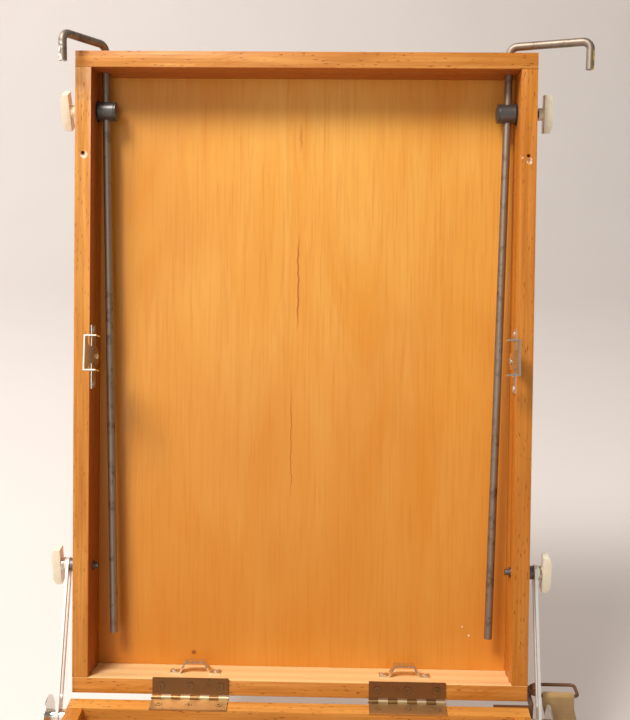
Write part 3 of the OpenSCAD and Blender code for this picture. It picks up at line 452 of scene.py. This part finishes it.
def honey_plywood():
    """Amber birch plywood with wavy grain, cracks, a knot and specks."""
    pale, amber, deep = (0.84, 0.43, 0.085), (0.77, 0.315, 0.032), (0.58, 0.17, 0.008)
    material, shader = start_material("honey_plywood", amber, 0.4, Coat_Weight=0.12, Coat_Roughness=0.3,
                                      Specular_IOR_Level=0.3)
    vector = place_of(material, on_lid=True)
    split = add(material, "ShaderNodeSeparateXYZ", Vector=vector)
    parts = {"vector": vector, "x": split.outputs["X"], "z": split.outputs["Z"]}
    waves = noise(material, stretch(material, vector, (15, 15, 3.2)), 1.0, 3.0, 0.55, 1.4)
    fibre = noise(material, stretch(material, vector, (520, 520, 16)), 1.0, 3.0, 0.6)
    clouds = noise(material, stretch(material, vector, (5, 5, 4)), 1.0, 2.0)
    height = ramp(material, parts["z"], 0.05, 0.50)
    color = mix_color(material, ramp(material, waves, 0.3, 0.72), pale, amber)
    color = mix_color(material, math_node(material, "MULTIPLY", ramp(material, clouds, 0.42, 0.75), 0.6),
                      color, deep)
    # The panel is darker towards the bottom.
    ground = ramp(material, height, 1.0, 0.0)
    color = mix_color(material, math_node(material, "MULTIPLY", ground, 0.55), color, deep)
    color = mix_color(material, math_node(material, "MULTIPLY", ramp(material, fibre, 0.48, 0.82), 0.5),
                      color, deep)
    for x, low, high, width, seed in CRACKS:
        mark = crack(material, parts, x, low, high, width, seed)
        color = mix_color(material, math_node(material, "MULTIPLY", mark, 0.85), color, (0.42, 0.10, 0.012))
    knot = spot(material, parts, -0.098, 0.027, 0.0028)
    color = mix_color(material, knot, color, (0.30, 0.06, 0.012))
    for x, z, radius in ((0.153, 0.047, 0.0011), (0.147, 0.055, 0.0008)):
        color = mix_color(material, spot(material, parts, x, z, radius), color, (0.92, 0.86, 0.78))
    link(material, color, shader, "Base Color")
    rough = math_node(material, "MULTIPLY_ADD", fibre, 0.18, 0.30)
    link(material, rough, shader, "Roughness")
    lift(material, shader, math_node(material, "ADD", fibre, waves), 0.2, 0.0002)
    return material


panel = frame["nodes"]["lid_panel"]
paint(panel, honey_plywood())

# %% [markdown]
# Bare inside boards are paler: nobody varnished the drawer's sides or the sliding halves of the legs.

# %% Bare wood
pale_deep = beech("pale_wood_deep", "y", light=(0.86, 0.60, 0.33), dark=(0.68, 0.41, 0.18), roughness=0.6)
pale_across = beech("pale_wood_across", "x", light=(0.88, 0.63, 0.36), dark=(0.70, 0.43, 0.20), roughness=0.6)
for node_name, material, slot in (("drawer_sides", pale_deep, "pale_wood"),
                                  ("drawer_back", pale_across, "pale_wood"),
                                  ("drawer_dividers", pale_deep, "pale_wood"),
                                  ("drawer_bottom", pale_deep, "pale_board"),
                                  ("box_bottom", pale_deep, "pale_board"),
                                  ("leg_lower_left", pale_deep, "pale_wood"),
                                  ("leg_lower_right", pale_deep, "pale_wood"),
                                  ("leg_lower_rear", pale_deep, "pale_wood")):
    paint(soften(node_name, 0.5 * MM), material)
leg_wood = beech("beech_leg", "y", light=(0.86, 0.45, 0.165))
for side in ("left", "right", "rear"):
    paint(soften(f"leg_upper_{side}", BROKEN_EDGE), leg_wood)

# %% [markdown]
# The fittings are nickel-plated steel: bright, a little warm, and never quite clean. A metal's look is
# almost all in its roughness, so two noises vary it: small scratches and larger dull patches. A place on
# the lid can also pick the metal: the tips of the canvas rods carry old paint, and only the screws of the
# hinges are brass.

# %% Metals
def worn_metal(name, color, roughness, tarnish, tarnish_share=0.35, fine=900, metallic=1.0):
    """Metal with dull patches of another colour and a fine uneven polish."""
    material, shader = start_material(name, color, roughness, metallic)
    vector = place_of(material)
    patches = noise(material, vector, 95, 4.0, 0.65)
    grain = noise(material, vector, fine, 2.0)
    dull = math_node(material, "MULTIPLY", ramp(material, patches, 0.52, 0.78), tarnish_share)
    link(material, mix_color(material, dull, color, tarnish), shader, "Base Color")
    rough = math_node(material, "MULTIPLY_ADD", grain, 0.14, roughness - 0.05)
    link(material, math_node(material, "MULTIPLY_ADD!", patches, 0.12, rough), shader, "Roughness")
    lift(material, shader, grain, 0.08, 0.0001)
    return material


def touched_rods(material, shader):
    """Old paint on the outer side of both hook tips: yellow on the right one, whitish on the left one."""
    vector = place_of(material, on_lid=True)
    split = add(material, "ShaderNodeSeparateXYZ", Vector=vector)
    ragged = ramp(material, noise(material, vector, 260, 3.0), 0.44, 0.52)
    near_tip = ramp(material, split.outputs["Z"], lid_top + 0.003, lid_top)
    color = shader.inputs["Base Color"].links[0].from_socket
    for edge, far_edge, paint_color in ((right_tip - 0.0022, right_tip - 0.0017, (0.80, 0.56, 0.03)),
                                        (left_tip + 0.0045, left_tip + 0.0040, (0.80, 0.78, 0.72))):
        outside = ramp(material, split.outputs["X"], edge, far_edge)
        mark = math_node(material, "MULTIPLY", math_node(material, "MULTIPLY", outside, near_tip), ragged)
        color = mix_color(material, mark, color, paint_color)
        metal = shader.inputs["Metallic"]
        before = metal.links[0].from_socket if metal.links else metal.default_value
        link(material, math_node(material, "MULTIPLY", math_node(material, "SUBTRACT", 1.0, mark), before),
             shader, "Metallic")
    link(material, color, shader, "Base Color")


def lid_screw_metal():
    """Brass for the hinges' screws, and nickel above the bottom rail for all the others on the lid."""
    material = worn_metal("lid_screws", (0.36, 0.22, 0.10), 0.28, (0.16, 0.08, 0.03), 0.6)
    shader = material.node_tree.nodes["Principled BSDF"]
    split = add(material, "ShaderNodeSeparateXYZ", Vector=place_of(material, on_lid=True))
    plated = ramp(material, split.outputs["Z"], ledge, ledge + 0.4 * MM)
    brass = shader.inputs["Base Color"].links[0].from_socket
    link(material, mix_color(material, plated, brass, NICKEL), shader, "Base Color")
    return material


right_tip = lid_box("rod_right")[1].x
left_tip = lid_box("rod_left")[0].x
NICKEL = (0.80, 0.77, 0.71)
nickel = worn_metal("nickel", NICKEL, 0.16, (0.48, 0.40, 0.30))
zinc = worn_metal("zinc_plate", (0.88, 0.86, 0.82), 0.36, (0.62, 0.56, 0.48), metallic=0.75)
dark_steel = worn_metal("dark_steel", (0.22, 0.20, 0.19), 0.42, (0.10, 0.07, 0.05))
rod_steel = worn_metal("rod_steel", (0.31, 0.25, 0.195), 0.42, (0.09, 0.05, 0.03), 0.9, metallic=0.85)
barrel_steel = worn_metal("blue_grey_steel", (0.125, 0.12, 0.115), 0.30, (0.06, 0.055, 0.05), metallic=0.7)
old_brass = worn_metal("aged_brass", (0.36, 0.20, 0.085), 0.26, (0.16, 0.08, 0.03), 0.6)
new_brass = worn_metal("bright_brass", (0.62, 0.47, 0.28), 0.34, (0.40, 0.27, 0.12), 0.6)
brown_steel = worn_metal("brown_metal", (0.21, 0.105, 0.055), 0.38, (0.10, 0.05, 0.03), metallic=0.6)
touched_rods(rod_steel, rod_steel.node_tree.nodes["Principled BSDF"])
for material, slot, names in ((nickel, "nickel", ("canvas_rests", "clip_plates", "side_clip_left",
                                                  "side_clip_right", "stay_pivots",
                                                  "latch_strikes", "latch_bases", "latch_left", "latch_right",
                                                  "leg_brackets", "drawer_pull")),
                              (zinc, "nickel", ("stay_left", "stay_right")),
                              (dark_steel, "dark_steel", ("stay_bolts",)),
                              (barrel_steel, "blue_grey_steel", ("clamp_barrel_left", "clamp_barrel_right")),
                              (old_brass, "aged_brass", ("lid_hinge_leaves",)),
                              (lid_screw_metal(), "aged_brass", ("lid_screws",)),
                              (new_brass, "bright_brass", ("box_hinge_leaves", "hinge_pins", "box_screws")),
                              (brown_steel, "brown_metal", ("strap_rings", "strap_brackets", "strap_buckle")),
                              (rod_steel, "rod_steel", ("rod_left", "rod_right"))):
    for node_name in names:
        paint(frame["nodes"][node_name], material)

# %% [markdown]
# Two small parts make the clamps look real. A black star washer with a toothed rim sits between each
# barrel and the wall: a short cylinder whose every second corner is pulled out. A wire spring sits round
# the neck of each stay knob: a small circle that a Screw modifier sweeps into a coil. Both are made along
# the world's axes at the origin, then turned and moved into place with one matrix in their mesh.

# %% Star washers and springs
TOOTH_IN = 8.2 * MM
TOOTH_OUT = 9.4 * MM
TOOTH_CORNERS = 48
WASHER_THICKNESS = 1.2 * MM
SPRING_RADIUS = 6.3 * MM
SPRING_WIRE = 0.45 * MM


def place_mesh(piece, matrix, body):
    """Moves a finished mesh into place, leaves its object at the origin and ties it to a body."""
    piece.data.transform(matrix)
    piece.location = (0, 0, 0)
    piece.rotation_euler = (0, 0, 0)
    bpy.ops.object.shade_smooth_by_angle(angle=math.radians(35))
    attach(piece, body)


black_steel = worn_metal("black_star_washer", (0.03, 0.028, 0.026), 0.45, (0.07, 0.06, 0.05), metallic=0.6)
for sign, side in ((-1, "left"), (1, "right")):
    barrel_low, barrel_high = lid_box(f"clamp_barrel_{side}")
    deselect_all()
    bpy.ops.mesh.primitive_cylinder_add(vertices=TOOTH_CORNERS, radius=TOOTH_IN, depth=WASHER_THICKNESS,
                                        location=(0, 0, 0))
    washer = bpy.context.object
    washer.name = f"star_washer_{side}"
    reach = TOOTH_OUT / TOOTH_IN
    for vertex in washer.data.vertices:
        corner = round(math.atan2(vertex.co.y, vertex.co.x) / (2 * math.pi / TOOTH_CORNERS))
        if corner % 2 == 0:
            vertex.co = (vertex.co.x * reach, vertex.co.y * reach, vertex.co.z)
    center = Vector((sign * (wall_face - 0.9 * MM), (barrel_low.y + barrel_high.y) / 2,
                     (barrel_low.z + barrel_high.z) / 2))
    place_mesh(washer, lid_to_world @ Matrix.Translation(center) @ Matrix.Rotation(math.radians(90), 4, "Y"),
               "lid")
    paint(washer, black_steel)
for sign, side in ((-1, "left"), (1, "right")):
    knob_low, knob_high = lid_box(f"stay_knob_{side}")
    inner = min(abs(knob_low.x), abs(knob_high.x))
    deselect_all()
    bpy.ops.mesh.primitive_circle_add(vertices=10, radius=SPRING_WIRE, fill_type="NOTHING",
                                      location=(0, 0, 0), rotation=(math.radians(90), 0, 0))
    spring = bpy.context.object
    spring.name = f"knob_spring_{side}"
    bpy.ops.object.transform_apply(location=True, rotation=True, scale=True)
    spring.data.transform(Matrix.Translation((SPRING_RADIUS, 0, 0)))
    coil = spring.modifiers.new("coil", "SCREW")
    coil.axis = "Z"
    coil.angle = math.radians(360)
    coil.screw_offset = 1.1 * MM
    coil.iterations = 2
    coil.steps = 28
    coil.render_steps = 28
    bpy.ops.object.modifier_apply(modifier=coil.name)
    center = Vector((sign * (inner + 1.6 * MM), (knob_low.y + knob_high.y) / 2,
                     (knob_low.z + knob_high.z) / 2))
    place_mesh(spring, lid_to_world @ Matrix.Translation(center)
               @ Matrix.Rotation(math.radians(90) * sign, 4, "Y"), f"stay_knob_{side}")
    paint(spring, nickel)
print("washers and springs placed")

# %% [markdown]
# The knobs are cast in ivory-coloured plastic that has yellowed. A cast part has generous round edges, so
# the copies get a wide bevel.

# %% Knobs
def ivory_plastic():
    """Yellowed glossy plastic with grime in soft patches."""
    material, shader = start_material("ivory_plastic", (0.88, 0.80, 0.62), 0.33, Subsurface_Weight=0.08,
                                      Subsurface_Scale=0.004)
    vector = place_of(material)
    grime = ramp(material, noise(material, vector, 130, 4.0, 0.6), 0.48, 0.8)
    color = mix_color(material, math_node(material, "MULTIPLY", grime, 0.4), (0.88, 0.80, 0.62),
                      (0.62, 0.47, 0.28))
    link(material, color, shader, "Base Color")
    lift(material, shader, noise(material, vector, 1400, 2.0), 0.06, 0.0001)
    return material


ivory = ivory_plastic()
for node_name in ("rod_knob_left", "rod_knob_right", "stay_knob_left", "stay_knob_right"):
    paint(soften(node_name, 0.9 * MM, 3), ivory)
for side in ("left", "right", "rear"):
    paint(soften(f"leg_knob_{side}", 0.4 * MM), ivory)

# %% [markdown]
# Black rubber feet tip the legs. Rubber is dull, with a fine skin and paler scuffs.

# %% Rubber tips
rubber, rubber_shader = start_material("black_rubber", (0.03, 0.03, 0.03), 0.7)
rubber_place = place_of(rubber)
scuffs = ramp(rubber, noise(rubber, rubber_place, 160, 4.0), 0.5, 0.8)
link(rubber, mix_color(rubber, math_node(rubber, "MULTIPLY", scuffs, 0.5), (0.03, 0.03, 0.03),
                       (0.12, 0.115, 0.11)), rubber_shader, "Base Color")
lift(rubber, rubber_shader, noise(rubber, rubber_place, 1200, 2.0), 0.2, 0.0001)
for side in ("left", "right", "rear"):
    paint(soften(f"leg_tip_{side}", 0.8 * MM), rubber)

# %% [markdown]
# The carrying strap hangs from a wire ring: the webbing goes up and over the wire and is sewn to itself.
# It is modelled as by hand. A short edge as wide as the strap is added at one end, extruded step by step
# along the path, given its thickness, and its map is laid out so that the weave follows its length.

# %% Webbing strap
strap_low, strap_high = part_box("strap")
ring_low, ring_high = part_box("strap_rings")
WEB_WIDTH = 27 * MM
WEB_THICKNESS = 1.9 * MM
WIRE_RADIUS = 1.5 * MM
LOOP_STEPS = 10
ring_height = (ring_low.z + ring_high.z) / 2
rear_wire = hinge.y + 4.5 * MM
front_wire = rear_wire - (strap_high.y - strap_low.y - 2.4 * MM)
strap_left = ring_low.x + WIRE_RADIUS + 6 * MM
curve_reach = 85 * MM
curve_top = 92 * MM
floor_gap = 3.4 * MM
loop_radius = WIRE_RADIUS + WEB_THICKNESS / 2 + 0.2 * MM


def strap_line():
    """Middle line of the webbing as (y, z), sewn end first, from the rear ring to the front one."""
    sewn_end = ring_height - 42 * MM
    rear = [(rear_wire + WEB_THICKNESS, sewn_end), (rear_wire + WEB_THICKNESS, ring_height - 12 * MM)]
    rear += [(rear_wire + loop_radius * math.cos(math.pi * i / LOOP_STEPS),
              ring_height + loop_radius * math.sin(math.pi * i / LOOP_STEPS)) for i in range(LOOP_STEPS + 1)]
    rear += [(rear_wire - 0.4 * MM, ring_height - 12 * MM), (rear_wire, curve_top)]
    bend = [(rear_wire - curve_reach * (1 - math.cos(a)), curve_top - (curve_top - floor_gap) * math.sin(a))
            for a in (math.radians(90 * i / 14) for i in range(1, 15))]
    half = rear + bend
    middle = (rear_wire + front_wire) / 2
    return half + [(2 * middle - y, z) for y, z in reversed(half)]


def strap_drift(z):
    """Outward lean of the strap below the ring, which keeps it clear of the folded leg."""
    t = min(1.0, max(0.0, (ring_height - z) / (50 * MM)))
    return 9 * MM * t * t * (3 - 2 * t)


line = strap_line()
deselect_all()
bpy.ops.mesh.primitive_plane_add(size=1, location=(0, 0, 0))
strap = bpy.context.object
strap.name = "webbing_strap"
strap.data.name = "webbing_strap"
bpy.ops.object.mode_set(mode="EDIT")
bpy.ops.mesh.select_all(action="DESELECT")
bpy.ops.object.mode_set(mode="OBJECT")
corners = sorted(strap.data.vertices, key=lambda v: (v.co.y, v.co.x))
for corner, (point, at_right) in zip(corners, ((line[0], 0), (line[0], 1), (line[1], 0), (line[1], 1))):
    corner.co = (strap_left + strap_drift(point[1]) + at_right * WEB_WIDTH, point[0], point[1])
moving = [corners[2].index, corners[3].index]
bpy.ops.object.mode_set(mode="EDIT")
bpy.ops.mesh.select_mode(type="VERT")
bpy.ops.object.mode_set(mode="OBJECT")
for index in moving:
    strap.data.vertices[index].select = True
strap.data.edges.foreach_set("select", [set(e.vertices) == set(moving) for e in strap.data.edges])
bpy.ops.object.mode_set(mode="EDIT")
for here, there in zip(line[1:], line[2:]):
    step = (strap_drift(there[1]) - strap_drift(here[1]), there[0] - here[0], there[1] - here[1])
    bpy.ops.mesh.extrude_region_move(TRANSFORM_OT_translate={"value": step})
bpy.ops.object.mode_set(mode="OBJECT")
print("strap length", round(sum((Vector(b) - Vector(a)).length for a, b in zip(line, line[1:])), 3), "m")

# %% [markdown]
# A map gives each corner of each face its place in the weave: across the strap, and along it. The length
# so far is added up step by step, which keeps the threads even round the bends. Solidify then gives the
# webbing its thickness, and a small bevel rounds its selvedges.

# %% Strap map and thickness
lengths = [0.0]
for here, there in zip(line, line[1:]):
    lengths.append(lengths[-1] + math.dist(here, there))
weave_map = strap.data.uv_layers.active or strap.data.uv_layers.new(name="weave")
order = {}
for vertex in strap.data.vertices:
    nearest = min(range(len(line)), key=lambda i: math.dist(line[i], (vertex.co.y, vertex.co.z)))
    order[vertex.index] = nearest
for loop in strap.data.loops:
    vertex = strap.data.vertices[loop.vertex_index]
    across = vertex.co.x - strap_left - strap_drift(vertex.co.z)
    weave_map.data[loop.index].uv = (across, lengths[order[vertex.index]])
thick = strap.modifiers.new("thickness", "SOLIDIFY")
thick.thickness = WEB_THICKNESS
thick.offset = 0
thick.use_even_offset = True
bpy.ops.object.modifier_apply(modifier=thick.name)
selvedge = strap.modifiers.new("selvedge", "BEVEL")
selvedge.width = 0.5 * MM
selvedge.segments = 2
selvedge.limit_method = "ANGLE"
selvedge.angle_limit = math.radians(60)
bpy.ops.object.modifier_apply(modifier=selvedge.name)
bpy.ops.object.shade_smooth_by_angle(angle=math.radians(40))


def webbing():
    """Gold-brown webbing: rows of threads across and along, darker between them, with a worn fuzz."""
    material, shader = start_material("webbing", (0.45, 0.27, 0.10), 0.85, Sheen_Weight=0.3)
    vector = add(material, "ShaderNodeUVMap").outputs["UV"]
    split = add(material, "ShaderNodeSeparateXYZ", Vector=vector)
    thread = 2 * math.pi / (1.3 * MM)
    warp = math_node(material, "SINE", math_node(material, "MULTIPLY", split.outputs["X"], thread))
    weft = math_node(material, "SINE", math_node(material, "MULTIPLY", split.outputs["Y"], thread))
    weave = math_node(material, "MULTIPLY_ADD", math_node(material, "MULTIPLY", warp, weft), 0.5, 0.5)
    place = place_of(material)
    fuzz = noise(material, place, 900, 3.0, 0.6)
    stain = ramp(material, noise(material, place, 60, 3.0), 0.4, 0.75)
    color = mix_color(material, weave, (0.15, 0.075, 0.02), (0.66, 0.40, 0.145))
    color = mix_color(material, math_node(material, "MULTIPLY", fuzz, 0.5), color, (0.74, 0.48, 0.20))
    color = mix_color(material, math_node(material, "MULTIPLY", stain, 0.35), color, (0.22, 0.12, 0.05))
    link(material, color, shader, "Base Color")
    lift(material, shader, math_node(material, "ADD", weave, fuzz), 0.6, 0.0005)
    return material


paint(strap, webbing())
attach(strap, "strap")
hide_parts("strap")
print("strap faces", len(strap.data.polygons))
